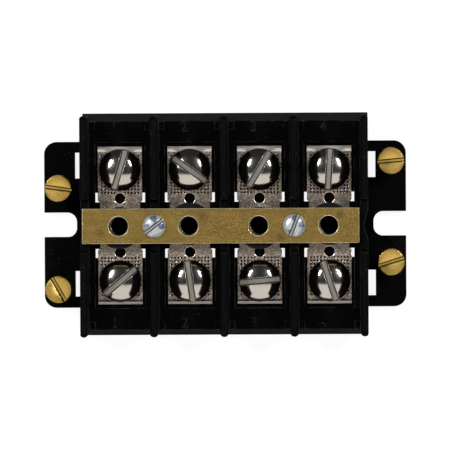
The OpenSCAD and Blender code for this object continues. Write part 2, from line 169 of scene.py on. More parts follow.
class Recipe:
    """A material under construction, with one Principled shader."""

    def __init__(self, name):
        self.material = bpy.data.materials.new(name)
        self.material.use_nodes = True
        self.tree = self.material.node_tree
        self.tree.nodes.clear()
        self.shader = self.tree.nodes.new("ShaderNodeBsdfPrincipled")
        output = self.tree.nodes.new("ShaderNodeOutputMaterial")
        self.tree.links.new(self.shader.outputs[0], output.inputs["Surface"])

    def feed(self, socket, value):
        """Links a wire to a socket, or sets the socket to a plain value."""
        if isinstance(value, Wire):
            self.tree.links.new(value.socket, socket)
        elif hasattr(value, "__len__") and len(value) < len(socket.default_value):
            socket.default_value = (*value, 1.0)
        else:
            socket.default_value = value

    def node(self, kind, settings, values, output=0):
        """Adds any node. Settings come first, then the values or wires of its sockets."""
        made = self.tree.nodes.new(kind)
        for key, value in settings.items():
            setattr(made, key, value)
        for key, value in values.items():
            self.feed(made.inputs[key], value)
        return Wire(self, made.outputs[output])

    def stretched(self, here, stretch):
        """Coordinates whose patterns a low stretch draws out along an axis."""
        return self.node("ShaderNodeMapping", {}, {"Vector": here, "Scale": stretch})

    def place(self, stretch=(1, 1, 1)):
        """Object coordinates."""
        return self.stretched(self.node("ShaderNodeTexCoord", {}, {}, "Object"), stretch)

    def local(self, stretch=(1, 1, 1)):
        """Coordinates that turn with a screw, whose slot runs along their X."""
        here = self.node("ShaderNodeAttribute", {"attribute_name": "local"}, {}, "Vector")
        return self.stretched(here, stretch)

    def along(self, axis, vector):
        """One number of a vector, by the letter of its axis."""
        return self.node("ShaderNodeSeparateXYZ", {}, {0: vector}, axis)

    def upward(self, kind):
        """The Z of a face's normal, which is 1 where the face looks up."""
        return self.along("Z", self.node("ShaderNodeNewGeometry", {}, {}, kind))

    def noise(self, place, size, detail=2.0, roughness=0.5):
        """Noise from 0 to 1 whose lumps are about a size across, in metres."""
        return self.node("ShaderNodeTexNoise", {},
                         {"Vector": place, "Scale": 1 / size, "Detail": detail,
                          "Roughness": roughness})

    def near(self, centre, radius):
        """A soft round mask of 1 at a point that falls to 0 at a radius."""
        here = self.node("ShaderNodeTexCoord", {}, {}, "Object")
        away = self.node("ShaderNodeVectorMath", {"operation": "DISTANCE"},
                         {0: here, 1: centre}, "Value")
        return (1 - away * (1 / radius)).above(0.0, 1.0)

    def blend(self, factor, first, second):
        """Mixes two colours."""
        return self.node("ShaderNodeMix", {"data_type": "RGBA"},
                         {0: factor, 6: first, 7: second}, 2)

    def bump(self, height, distance, normal):
        """A normal raised by a height from 0 to 1 over a distance in metres."""
        return self.node("ShaderNodeBump", {},
                         {"Height": height, "Distance": distance, "Normal": normal})

    def rounded(self, radius):
        """A normal that softens every edge by a radius in metres."""
        return self.node("ShaderNodeBevel", {"samples": 6}, {"Radius": radius})

    def worn(self, radius):
        """A mask of the edges, where the softened normal departs from the true one."""
        true = self.node("ShaderNodeNewGeometry", {}, {}, "Normal")
        same = self.node("ShaderNodeVectorMath", {"operation": "DOT_PRODUCT"},
                         {0: self.rounded(radius), 1: true}, "Value")
        return (1 - same).above(0.01, 0.2)

    def finish(self, sockets):
        """Feeds the shader's sockets by name and gives back the material."""
        for name, value in sockets.items():
            self.feed(self.shader.inputs[name], value)
        return self.material


# Finishes

def shade(colour, factor):
    """A colour made darker or lighter."""
    return tuple(min(1.0, factor * channel) for channel in colour)


def moulding_material(settings):
    """Black moulding: satin on top, dull low down and at its sides, worn, cloudy and dusty, with
    painted edge highlights and sides painted lighter.
    """
    recipe = Recipe("black_moulding")
    here = recipe.place()
    cloud = recipe.noise(here, 2.4 * MM, 4)
    grain = recipe.noise(here, 0.11 * MM, 3)
    dust = recipe.noise(here, 0.3 * MM, 0).above(0.77, 0.03) * cloud.above(0.52, 0.1)
    black = recipe.blend(cloud, shade(settings.colour, 0.6), shade(settings.colour, 1.4))
    normal = recipe.bump(grain, 0.006 * MM, recipe.rounded(settings.edge_radius))
    top = recipe.upward("Normal").above(0.3, 0.4)
    high = recipe.along("Z", here).above(SHINE_START, 8 * MM)
    high = high + 0.4 * abs(recipe.along("X", here)).above(FLANGE_START, 1 * MM)
    # Lighter grey along the edges: partly wear, partly a painted highlight
    wear_and_highlight = recipe.worn(0.2 * MM) * cloud.above(0.38, 0.25)
    # Painted light: the sides get a lighter black than the tops, for the light they catch
    black = recipe.blend(top, (0.007, 0.007, 0.0072), black)
    black = recipe.blend(wear_and_highlight, black, (0.10, 0.10, 0.098))
    return recipe.finish({
        "Base Color": recipe.blend(dust, black, (0.07, 0.07, 0.068)),
        "Roughness": settings.roughness + 0.1 * cloud + 0.4 * (1 - top * (0.25 + 0.75 * high)),
        "Specular IOR Level": 0.05, "Normal": normal})


def spacer_material(settings):
    """Matt black sleeve with faint turning marks."""
    recipe = Recipe("spacer_black")
    rings = recipe.noise(recipe.place((1, 1, 12)), 0.5 * MM, 2)
    grain = recipe.noise(recipe.place(), 0.12 * MM, 3)
    return recipe.finish({
        "Base Color": recipe.blend(grain, settings.colour, shade(settings.colour, 2.0)),
        "Roughness": 0.5 + 0.2 * grain, "Specular IOR Level": 0.12,
        "Normal": recipe.bump(rings + grain, 0.008 * MM, recipe.rounded(0.12 * MM))})


def plate_material(settings):
    """Rolled plate in satin nickel, stained, with rubbed edges partly a painted highlight, and
    bends painted near white as a painted reflection.
    """
    recipe = Recipe("satin_nickel")
    here = recipe.place()
    rolled = recipe.noise(recipe.place((1, 0.05, 1)), 0.07 * MM, 3)
    cloud = recipe.noise(here, 1.7 * MM, 3)
    stain = recipe.noise(here, 0.45 * MM, 4, 0.65).above(0.46, 0.2)
    metal = recipe.blend(cloud, shade(settings.colour, 0.86), shade(settings.colour, 1.28))
    metal = recipe.blend(stain * 0.4, metal, shade(settings.colour, 0.58))
    # Lighter along the edges: partly rubbing, partly a painted highlight
    metal = recipe.blend(recipe.worn(0.1 * MM) * 0.7, metal, (0.86, 0.83, 0.79))
    across = recipe.along("Y", here)
    level = recipe.upward("True Normal").above(0.99, 0.009)
    # Painted reflection: the bends are painted near white, and on the upper side made less
    # metallic so they light up as a painted highlight
    bend = abs(across).above(BEND_START, 0.3 * MM) * (1 - level)
    upper_bend_highlight = bend * across.above(0.0, 1 * MM)
    metal = recipe.blend(bend, metal, (0.95, 0.93, 0.90))
    return recipe.finish({
        "Base Color": metal, "Metallic": 1 - 0.65 * upper_bend_highlight,
        "Roughness": settings.roughness + 0.06 * rolled + 0.12 * stain
                     - bend * (settings.roughness - 0.08),
        "Normal": recipe.bump(rolled + 0.6 * stain, 0.004 * MM, recipe.rounded(0.06 * MM))})


def sheared_material(settings):
    """Cut edges of the plates, finely torn and rubbed bright."""
    recipe = Recipe("sheared_nickel")
    torn = recipe.noise(recipe.place((1, 1, 0.3)), 0.12 * MM, 3)
    return recipe.finish({
        "Base Color": recipe.blend(torn, shade(settings.colour, 1.5), (0.93, 0.91, 0.87)),
        "Metallic": 0.3, "Roughness": 0.34 + 0.14 * torn,
        "Normal": recipe.bump(torn, 0.006 * MM, recipe.rounded(0.05 * MM))})


def pit_material():
    """Inside of the pressed pits, painted near black as painted shade."""
    recipe = Recipe("pit_shadow")
    # Painted shade: the pits are painted near black, mottled
    pit_shade_mottle = recipe.noise(recipe.place(), 0.1 * MM)
    return recipe.finish({
        "Base Color": recipe.blend(pit_shade_mottle, (0.003, 0.003, 0.003), (0.012, 0.011, 0.01)),
        "Roughness": 0.7, "Specular IOR Level": 0.1})


def polished_material(settings):
    """Polished nickel of the domes, hazy, with fine wiping marks and dull worn edges, painted
    bright as a highlight.
    """
    recipe = Recipe("polished_nickel")
    haze = recipe.noise(recipe.local(), 1.4 * MM, 3)
    wipe = recipe.noise(recipe.local((0.08, 1, 1)), 0.09 * MM, 2)
    # Dull, lighter edges: partly wear, partly a painted highlight
    wear_and_highlight = recipe.worn(0.22 * MM)
    metal = recipe.blend(haze, settings.colour, shade(settings.colour, 0.9))
    metal = recipe.blend(wear_and_highlight, metal, (0.97, 0.95, 0.91))
    return recipe.finish({
        "Base Color": metal, "Metallic": 1.0,
        "Roughness": settings.roughness + 0.05 * haze + 0.4 * wear_and_highlight,
        "Normal": recipe.bump(wipe + 2 * haze, 0.0016 * MM, recipe.rounded(0.1 * MM))})


def cut_material(name, colour, roughness, width):
    """Sawn inside of a screwdriver slot, with streaks along it and painted shade along its walls.
    """
    recipe = Recipe(name)
    corner = abs(recipe.along("Y", recipe.local()))
    streak = recipe.noise(recipe.local((0.06, 1, 1)), 0.12 * MM, 3, 0.6)
    spot = recipe.noise(recipe.local(), 0.3 * MM, 3).above(0.5, 0.2)
    metal = recipe.blend(streak, shade(colour, 0.72), shade(colour, 1.18))
    metal = recipe.blend(spot * 0.25, metal, shade(colour, 0.55))
    # Painted shade: near black within a band along each slot wall
    wall_shade = corner.above(0.5 * width - 0.3 * MM, 0.06 * MM)
    metal = recipe.blend(wall_shade * (0.85 + 0.15 * spot), metal, shade(colour, 0.03))
    return recipe.finish({
        "Base Color": metal, "Metallic": 1.0, "Roughness": roughness + 0.12 * streak,
        "Normal": recipe.bump(streak, 0.012 * MM, recipe.rounded(0.12 * MM))})


def thread_material(name, colour, roughness):
    """Rolled thread, mottled in colour and roughness."""
    recipe = Recipe(name)
    mottle = recipe.noise(recipe.local(), 0.3 * MM, 4)
    return recipe.finish({
        "Base Color": recipe.blend(mottle, shade(colour, 0.7), colour), "Metallic": 1.0,
        "Roughness": roughness + 0.15 * mottle,
        "Normal": recipe.bump(mottle, 0.004 * MM, recipe.rounded(0.03 * MM))})


def zinc_material(settings, patches):
    """Bluish zinc plating, hatched along the slot, with dark blue patches."""
    recipe = Recipe("blue_zinc")
    ragged = recipe.noise(recipe.place(), 0.5 * MM, 3, 0.6)
    hatch = recipe.noise(recipe.local((0.05, 1, 1)), 0.2 * MM, 2)
    metal = recipe.blend(hatch.above(0.45, 0.15), shade(settings.colour, 0.82), (0.80, 0.82, 0.84))
    metal = recipe.blend(ragged.above(0.62, 0.06) * 0.5, metal, (0.16, 0.21, 0.32))
    for centre, size in patches:
        edge = recipe.near(centre, 1.5 * size) + 1.5 * ragged
        metal = recipe.blend(edge.above(1.15, 0.2) * 0.85, metal, (0.07, 0.10, 0.19))
    return recipe.finish({
        "Base Color": metal, "Metallic": 0.4, "Roughness": settings.roughness + 0.1 * ragged,
        "Normal": recipe.bump(hatch + ragged, 0.008 * MM, recipe.rounded(0.12 * MM))})


def turned_brass_material(settings):
    """Brass of the screw heads, turned in rings and knocked along its edges, which are painted
    lighter, partly as a highlight.
    """
    recipe = Recipe("turned_brass")
    radius = recipe.node("ShaderNodeVectorMath", {"operation": "LENGTH"},
                         {0: recipe.local((1, 1, 0))}, "Value")
    rings = recipe.node("ShaderNodeTexNoise", {"noise_dimensions": "1D"},
                        {"W": radius, "Scale": 1 / (0.09 * MM)})
    spot = recipe.noise(recipe.local(), 0.5 * MM, 4, 0.6)
    wear_and_highlight = recipe.worn(0.16 * MM)
    metal = recipe.blend(spot, shade(settings.colour, 0.82), shade(settings.colour, 1.14))
    # Lighter along the edges: partly knocks, partly a painted highlight
    metal = recipe.blend(wear_and_highlight * 0.7, metal, shade(settings.colour, 1.45))
    metal = recipe.blend(spot.above(0.6, 0.12) * 0.4, metal, shade(settings.colour, 0.55))
    return recipe.finish({
        "Base Color": metal, "Metallic": 1.0,
        "Roughness": settings.roughness + 0.1 * spot,
        "Normal": recipe.bump(rings * 0.5 + spot, 0.008 * MM, recipe.rounded(0.14 * MM))})


def bar_material(settings, stains):
    """Drawn brass of the bar, lined and mottled, with dull stains, edges lightened partly as a
    painted highlight, and painted shade on its sides.
    """
    recipe = Recipe("drawn_brass")
    drawn = recipe.noise(recipe.place((0.03, 1, 1)), 0.09 * MM, 3, 0.6)
    cloud = recipe.noise(recipe.place((0.5, 1, 1)), 2.2 * MM, 4, 0.6)
    fleck = recipe.noise(recipe.place((0.7, 1, 1)), 0.22 * MM, 2, 0.6)
    wear_and_highlight = recipe.worn(0.16 * MM)
    metal = recipe.blend(cloud, shade(settings.colour, 0.92), shade(settings.colour, 1.08))
    metal = recipe.blend(fleck.above(0.4, 0.25), shade(settings.colour, 1.25), metal)
    metal = recipe.blend(fleck.above(0.5, 0.2) * 0.5, metal, shade(settings.colour, 0.62))
    for centre, size in stains:
        metal = recipe.blend(recipe.near(centre, size) * (0.35 + 0.5 * fleck), metal,
                             shade(settings.colour, 0.42))
    # Lighter along the edges: a painted highlight, partly wear
    metal = recipe.blend(wear_and_highlight * 0.75, metal, shade(settings.colour, 1.55))
    # Painted shade: the bar's sides are darker than its top and bottom
    level = abs(recipe.upward("True Normal")).above(0.1, 0.3)
    metal = recipe.blend(level, shade(settings.colour, 0.4), metal)
    return recipe.finish({
        "Base Color": metal, "Metallic": 1.0,
        "Roughness": settings.roughness + 0.03 + 0.06 * cloud + 0.1 * drawn,
        "Normal": recipe.bump(drawn + fleck, 0.006 * MM, recipe.rounded(0.1 * MM))})


def drilled_material(name, colour, metallic):
    """Walls or rims of the holes in the bar, with the marks of the drill round them; the walls are
    painted near black as shade, the slanted faces near white as a highlight.
    """
    recipe = Recipe(name)
    marks = recipe.noise(recipe.place((1, 1, 6)), 0.3 * MM, 3)
    return recipe.finish({
        "Base Color": recipe.blend(marks, shade(colour, 0.7), shade(colour, 1.2)),
        "Metallic": metallic, "Roughness": 0.32 + 0.15 * marks,
        "Normal": recipe.bump(marks, 0.006 * MM, recipe.rounded(0.05 * MM))})


def floor_material(colour, strength):
    """Pale floor that shows white to the camera, but for the object's soft shadow."""
    recipe = Recipe("studio_floor")
    seen = recipe.node("ShaderNodeLightPath", {}, {}, "Is Camera Ray")
    grain = recipe.noise(recipe.place(), 4 * MM)
    pale = recipe.blend(grain, colour, shade(colour, 0.98))
    return recipe.finish({
        "Base Color": recipe.blend(seen, pale, shade(colour, 0.3)),
        "Roughness": 0.9, "Specular IOR Level": 0.0,
        "Emission Color": recipe.blend(seen, (0, 0, 0), (1, 1, 1)),
        "Emission Strength": strength})


# Meshes

def middle(node):
    """Centre of a CAD node's box."""
    low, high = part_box(node)
    return (Vector(low) + Vector(high)) / 2


def seat(node, height):
    """Point on the upright line through a CAD node's centre, at a height."""
    centre = middle(node)
    return Vector((centre.x, centre.y, height))


def into_mesh(name, bm, materials, smooth=30):
    """Turns a bmesh into a mesh that is smooth up to an angle."""
    mesh = bpy.data.meshes.new(name)
    bm.to_mesh(mesh)
    bm.free()
    for material in materials:
        mesh.materials.append(material)
    mesh.polygons.foreach_set("use_smooth", [True] * len(mesh.polygons))
    mesh.set_sharp_from_angle(angle=math.radians(smooth))
    return mesh


def set_piece(name, mesh, body, replaced=(), flat=False):
    """Sets a finished mesh on a body, where it stands for its nodes."""
    piece = bpy.data.objects.new(name, mesh)
    bpy.context.scene.collection.objects.link(piece)
    if flat:
        piece.modifiers.new("flat faces", "WEIGHTED_NORMAL").keep_sharp = True
    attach(piece, body)
    if replaced:
        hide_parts(*replaced)


def dress(node, material):
    """Gives a CAD node its finish."""
    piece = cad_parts[node]
    piece.data.materials.clear()
    piece.data.materials.append(material)


def merged_copy(node, centre):
    """A CAD node's solid as one clean shell, brought to the origin."""
    bm = bmesh.new()
    bm.from_mesh(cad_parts[node].data)
    bmesh.ops.translate(bm, verts=bm.verts, vec=-centre)
    bmesh.ops.remove_doubles(bm, verts=bm.verts, dist=SAME_POINT)
    bmesh.ops.dissolve_limit(bm, verts=bm.verts, edges=bm.edges, angle_limit=math.radians(0.6))
    return bm


def soften(bm, edges, radius, segments=2):
    """Rounds edges by a radius."""
    bmesh.ops.bevel(bm, geom=edges, offset=radius, segments=segments, profile=0.5,
                    affect="EDGES", material=-1, clamp_overlap=True)


def sharp_edges(bm, angle=35):
    """Edges between faces that meet at more than an angle."""
    return [edge for edge in bm.edges if len(edge.link_faces) == 2
            and edge.calc_face_angle() > math.radians(angle)]


def draw_on(bm, last, corners):
    """Draws a line from a point on through corners (radius, height), and gives its points."""
    line = [last]
    for radius, height in corners:
        last = bmesh.ops.extrude_vert_indiv(bm, verts=[last])["verts"][0]
        last.co = (radius, 0, height)
        line.append(last)
    return line


def turn_round(bm, segments):
    """Turns a line whose ends lie on Z into a closed shell."""
    bmesh.ops.spin(bm, geom=bm.verts[:] + bm.edges[:], cent=(0, 0, 0), axis=(0, 0, 1),
                   angle=math.tau, steps=segments, use_merge=True)
    bmesh.ops.remove_doubles(bm, verts=bm.verts, dist=SAME_POINT)
    bmesh.ops.recalc_face_normals(bm, faces=bm.faces)


def cheese_head(corners, segments=72):
    """A head turned from a line through its corners (radius, height)."""
    bm = bmesh.new()
    first = bmesh.ops.create_vert(bm, co=(corners[0][0], 0, corners[0][1]))["vert"][0]
    draw_on(bm, first, corners[1:])
    turn_round(bm, segments)
    return bm


def domed_head(settings, below, segments):
    """A binding head: a flat crown arc, a rounder shoulder arc to its rim, then corners below."""
    height, crown = settings.head_height, settings.crown_radius
    radius, start = settings.head_diameter / 2, settings.crown_width / 2
    first = math.asin(start / crown)
    drop = height - settings.rim_height - crown * (1 - math.cos(first))
    second = 2 * math.atan2(drop, radius - start) - first
    shoulder = (radius - start) / (math.sin(second) - math.sin(first))
    bm = bmesh.new()
    last = bmesh.ops.create_vert(bm, co=(0, 0, height))["vert"][0]
    for size, tilt, turn, steps in ((crown, 0.0, first, 9), (shoulder, first, second - first, 12)):
        inward = Vector((math.sin(tilt), 0, math.cos(tilt))) * size
        arc = bmesh.ops.spin(bm, geom=[last], cent=last.co - inward, axis=(0, 1, 0),
                             angle=turn, steps=steps)["geom_last"]
        last = [item for item in arc if isinstance(item, bmesh.types.BMVert)][0]
    draw_on(bm, last, below)
    turn_round(bm, segments)
    return bm


def on_wall(edge, y):
    """Whether an edge lies in the upright plane at a distance in Y."""
    return all(abs(vert.co.y - y) < ON_PLANE for vert in edge.verts)


def saw_slot(bm, width, floor):
    """Saws a slot along X down to a height, and closes its walls and floor."""
    for place, normal in (((0, -width / 2, 0), (0, 1, 0)), ((0, width / 2, 0), (0, 1, 0)),
                          ((0, 0, floor), (0, 0, 1))):
        bmesh.ops.bisect_plane(bm, geom=bm.verts[:] + bm.edges[:] + bm.faces[:],
                               dist=PLANE_GAP, plane_co=place, plane_no=normal)
    gone = [face for face in bm.faces
            if abs(face.calc_center_median().y) < width / 2
            and face.calc_center_median().z > floor]
    bmesh.ops.delete(bm, geom=gone, context="FACES")
    corners = {-width / 2: [], width / 2: []}
    for y, pair in corners.items():
        for vert in bm.verts:
            if vert.is_boundary and abs(vert.co.z - floor) + abs(vert.co.y - y) < ON_PLANE:
                pair.append(vert)
    closing = [bm.edges.new(pair) for pair in corners.values()]
    for y, edge in zip(corners, closing):
        wall = [e for e in bm.edges if e.is_boundary and on_wall(e, y)]
        for face in bmesh.ops.contextual_create(bm, geom=wall + [edge])["faces"]:
            face.material_index = CUT
    rest = [e for e in bm.edges if e.is_boundary]
    for face in bmesh.ops.contextual_create(bm, geom=rest)["faces"]:
        face.material_index = CUT
    mouth = [e for e in bm.edges if len({face.material_index for face in e.link_faces}) == 2
             and any(on_wall(e, y) for y in corners)]
    soften(bm, mouth, TOOL_EDGE)
    bmesh.ops.recalc_face_normals(bm, faces=bm.faces)


def added(bm, old):
    """Points that a mesh has beside its old ones, with the edges and faces at them."""
    points = [vert for vert in bm.verts if vert not in old]
    edges = dict.fromkeys(edge for vert in points for edge in vert.link_edges)
    faces = dict.fromkeys(face for vert in points for face in vert.link_faces)
    return points, list(edges), list(faces)


def add_thread(bm, diameter, pitch, top, tip):
    """Adds a shank with a helical thread from a height down to a tip, closed at both ends."""
    old = set(bm.verts)
    crest, root = diameter / 2, diameter / 2 - 0.6 * pitch
    turns = math.ceil((top - tip) / pitch) + 3
    start = tip - 1.5 * pitch
    first = bmesh.ops.create_vert(bm, co=(root, 0, start))["vert"][0]
    profile = ((root, 0.12), (crest, 0.48), (crest, 0.6), (root, 0.96), (root, 1))
    line = draw_on(bm, first, [(radius, start + rise * pitch) for radius, rise in profile])
    bmesh.ops.spin(bm, geom=line + added(bm, old)[1], cent=(0, 0, 0), axis=(0, 0, 1),
                   angle=math.tau * turns, dvec=(0, 0, pitch / THREAD_STEPS),
                   steps=THREAD_STEPS * turns)
    bmesh.ops.remove_doubles(bm, verts=added(bm, old)[0], dist=2 * SAME_POINT)
    for height, direction in ((top, 1), (tip, -1)):
        points, edges, faces = added(bm, old)
        cut = bmesh.ops.bisect_plane(bm, geom=points + edges + faces, dist=PLANE_GAP,
                                     clear_outer=True, plane_co=(0, 0, height),
                                     plane_no=(0, 0, direction))
        rim = [item for item in cut["geom_cut"] if isinstance(item, bmesh.types.BMEdge)]
        bmesh.ops.contextual_create(bm, geom=rim)
    points, edges, faces = added(bm, old)
    for vert in points:
        far = math.hypot(vert.co.x, vert.co.y)
        limit = crest - TIP_CHAMFER + max(0.0, vert.co.z - tip)
        if far > limit:
            vert.co.x *= limit / far
            vert.co.y *= limit / far
    for face in faces:
        face.material_index = THREAD
    in_order = sorted(bm.verts, key=lambda vert: tuple(vert.co))  # the same result each run
    bmesh.ops.remove_doubles(bm, verts=in_order, dist=SHORTEST_EDGE)
    bmesh.ops.recalc_face_normals(bm, faces=bm.faces)


def slot_and_thread(bm, settings, top, tip):
    """Saws the slot into a head and adds the thread below it, from a height down to a tip."""
    saw_slot(bm, settings.slot_width, settings.head_height - settings.slot_depth)
    add_thread(bm, settings.thread_diameter, settings.thread_pitch, top, tip)


def carve(bm, cutter, materials):
    """Cuts one closed shell out of another. Faces of the cutter keep their material."""
    made = []
    for part in (bm, cutter):
        mesh = bpy.data.meshes.new("carving")
        part.to_mesh(mesh)
        part.free()
        for material in materials:
            mesh.materials.append(material)
        made.append(bpy.data.objects.new("carving", mesh))
        bpy.context.scene.collection.objects.link(made[-1])
    body, tool = made
    cut = body.modifiers.new("carve", "BOOLEAN")
    cut.operation, cut.solver, cut.object = "DIFFERENCE", "EXACT", tool
    result = bmesh.new()
    result.from_mesh(body.evaluated_get(bpy.context.evaluated_depsgraph_get()).to_mesh())
    for item in made:
        mesh = item.data
        bpy.data.objects.remove(item)
        bpy.data.meshes.remove(mesh)
    return result


def set_screws(name, bm, materials, nodes, turns, base, body=None):
    """Sets turned copies of one screw, each on its own body unless all ride on one."""
    mesh = into_mesh(name, bm, materials)
    local = mesh.attributes.new("local", "FLOAT_VECTOR", "POINT")
    local.data.foreach_set("vector", [c for vert in mesh.vertices for c in vert.co])
    for number, (node, turn) in enumerate(zip(nodes, turns), 1):
        copy = mesh.copy()
        copy.transform(Matrix.Translation(seat(node, base))
                       @ Matrix.Rotation(math.radians(turn), 4, "Z"))
        set_piece(f"{name}_{number}", copy, body or node, (node,))
    bpy.data.meshes.remove(mesh)


# Sizes and colours

def length(name, description, default):
    """A property for a length in metres."""
    return FloatProperty(name=name, description=description, default=default, unit="LENGTH",
                         precision=6)


def tint(name, description, default):
    """A property for a colour."""
    return FloatVectorProperty(name=name, description=description, default=default,
                               subtype="COLOR", min=0, max=1)


def share(name, description, default):
    """A property for a number from 0 to 1."""
    return FloatProperty(name=name, description=description, default=default, min=0, max=1)


class MouldingSettings(bpy.types.PropertyGroup):
    colour: tint("Black", "Colour of the moulding", (0.0013, 0.0013, 0.0014))
    roughness: share("Roughness", "Roughness of the faces that look up", 0.45)
    edge_radius: length("Edge radius", "Softness of the moulding's edges", 0.13 * MM)
    numeral_height: length("Numeral height", "Height of the pole numbers", 2.3 * MM)
    numeral_relief: length("Numeral relief", "How far the pole numbers stand out", 0.15 * MM)
    numeral_place: length("Numeral place",
                          "Distance from the centre line to the pole numbers", 22.3 * MM)
    numeral_offset: length("Numeral offset",
                           "Distance of a pole number from the middle of its pole", -1.3 * MM)


class SpacerSettings(bpy.types.PropertyGroup):
    colour: tint("Black", "Colour of the spacers", (0.004, 0.004, 0.0045))


class PlateSettings(bpy.types.PropertyGroup):
    colour: tint("Nickel", "Colour of the plates", (0.74, 0.62, 0.52))
    roughness: share("Roughness", "Roughness of the plates", 0.195)
    edge_radius: length("Edge radius", "Radius along the cut edges", 0.07 * MM)
    hole_radius: length("Hole edge", "Radius round the small holes", 0.13 * MM)
    pit_pitch: length("Pit pitch", "Distance from one pit to the next", 0.765 * MM)
    pit_diameter: length("Pit diameter", "Diameter of a pit at the surface", 0.54 * MM)
    pit_depth: length("Pit depth", "Depth of the pits", 0.2 * MM)
    pit_start: length("First row",
                      "Distance from the middle of the plate to the first row", 7.42 * MM)
    pit_rows: IntProperty(name="Rows", description="Rows of pits at each end", default=12, min=1)
    pit_columns: IntProperty(name="Columns", description="Pits in a row", default=12, min=1)


class WireScrewSettings(bpy.types.PropertyGroup):
    colour: tint("Nickel", "Colour of the polished heads", (0.60, 0.575, 0.54))
    slot_colour: tint("Slot", "Colour inside the slots", (0.44, 0.41, 0.36))
    roughness: share("Roughness", "Roughness of the polished heads", 0.09)
    head_diameter: length("Head", "Diameter of the head", 9.5 * MM)
    head_height: length("Head height",
                        "Height of the head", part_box("lower_screw_1")[1][2] - PLATE_TOP)
    rim_height: length("Rim height", "Height of the rim of the head above the plate", 1.3 * MM)
    crown_radius: length("Crown radius", "Radius of the flat middle of the head", 14.5 * MM)
    crown_width: length("Crown width", "Diameter of the flat middle of the head", 5.2 * MM)
    slot_width: length("Slot width", "Width of the slot", 1.5 * MM)
    slot_depth: length("Slot depth", "Depth of the slot", 1.1 * MM)
    thread_diameter: length("Thread", "Diameter over the thread", 4.75 * MM)
    thread_pitch: length("Thread pitch", "Pitch of the thread", 0.79 * MM)


class BarSettings(bpy.types.PropertyGroup):
    colour: tint("Brass", "Colour of the bar", (0.72, 0.485, 0.145))
    roughness: share("Roughness", "Roughness of the bar", 0.12)
    edge_radius: length("Edge radius", "Radius along the edges of the bar", 0.15 * MM)


class BarScrewSettings(bpy.types.PropertyGroup):
    colour: tint("Zinc", "Colour of the bar screws", (0.55, 0.58, 0.61))
    roughness: share("Roughness", "Roughness of the bar screws", 0.26)
    head_diameter: length("Head", "Diameter of the head", 5.1 * MM)
    head_height: length("Head height",
                        "Height of the head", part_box("bar_screw_1")[1][2] - BAR_TOP)
    rim_height: length("Rim height", "Height of the rim of the head", 1.1 * MM)
    crown_radius: length("Crown radius", "Radius of the flat middle of the head", 9 * MM)
    crown_width: length("Crown width", "Diameter of the flat middle of the head", 3 * MM)
    slot_width: length("Slot width", "Width of the slot", 0.9 * MM)
    slot_depth: length("Slot depth", "Depth of the slot", 0.9 * MM)
    thread_diameter: length("Thread", "Diameter over the thread", 2.85 * MM)
    thread_pitch: length("Thread pitch", "Pitch of the thread", 0.64 * MM)


class ShortingScrewSettings(bpy.types.PropertyGroup):
    colour: tint("Brass", "Colour of the shorting screws", (0.76, 0.51, 0.13))
    roughness: share("Roughness", "Roughness of the shorting screws", 0.24)
    head_diameter: length("Head", "Diameter of the head", 6.1 * MM)
    head_height: length("Head height", "Height of the head", 2.4 * MM)
    head_chamfer: length("Head chamfer", "Chamfer round the top of the head", 0.2 * MM)
    slot_width: length("Slot width", "Width of the slot", 0.95 * MM)
    slot_depth: length("Slot depth", "Depth of the slot", 1.2 * MM)
    thread_diameter: length("Thread", "Diameter over the thread", 4.1 * MM)
    thread_pitch: length("Thread pitch", "Pitch of the thread", 0.79 * MM)


class StageSettings(bpy.types.PropertyGroup):
    camera_distance: length("Camera distance",
                            "Distance from the object to the camera", 1540 * MM)
    pixel_size: length("Pixel size", "Size of a pixel of the image at the underside", 0.2294 * MM)
    lean_x: FloatProperty(
        name="Lean to the right", description="How far the camera stands to the right per height",
        default=0.015)
    lean_y: FloatProperty(
        name="Lean to the back", description="How far the camera stands to the back per height",
        default=0.023)
    roll: FloatProperty(
        name="Roll", description="Turn of the camera about its view axis",
        default=math.radians(0.3), subtype="ANGLE", unit="ROTATION")
    floor_colour: tint("Floor", "Colour of the studio floor", (0.86, 0.86, 0.86))
    floor_glow: FloatProperty(
        name="Floor glow", description="Light added to the floor for the camera alone",
        default=0.91, min=0)
    box_glow: FloatProperty(
        name="Softbox", description="Brightness of the two softboxes", default=29.5, min=0)
    card_glow: FloatProperty(
        name="Card", description="Brightness of the cream card in front", default=0.95, min=0)


class StripSettings(bpy.types.PropertyGroup):
    moulding: PointerProperty(type=MouldingSettings)
    spacers: PointerProperty(type=SpacerSettings)
    plates: PointerProperty(type=PlateSettings)
    wire_screws: PointerProperty(type=WireScrewSettings)
    bar: PointerProperty(type=BarSettings)
    bar_screws: PointerProperty(type=BarScrewSettings)
    shorting_screws: PointerProperty(type=ShortingScrewSettings)
    stage: PointerProperty(type=StageSettings)


# Operators

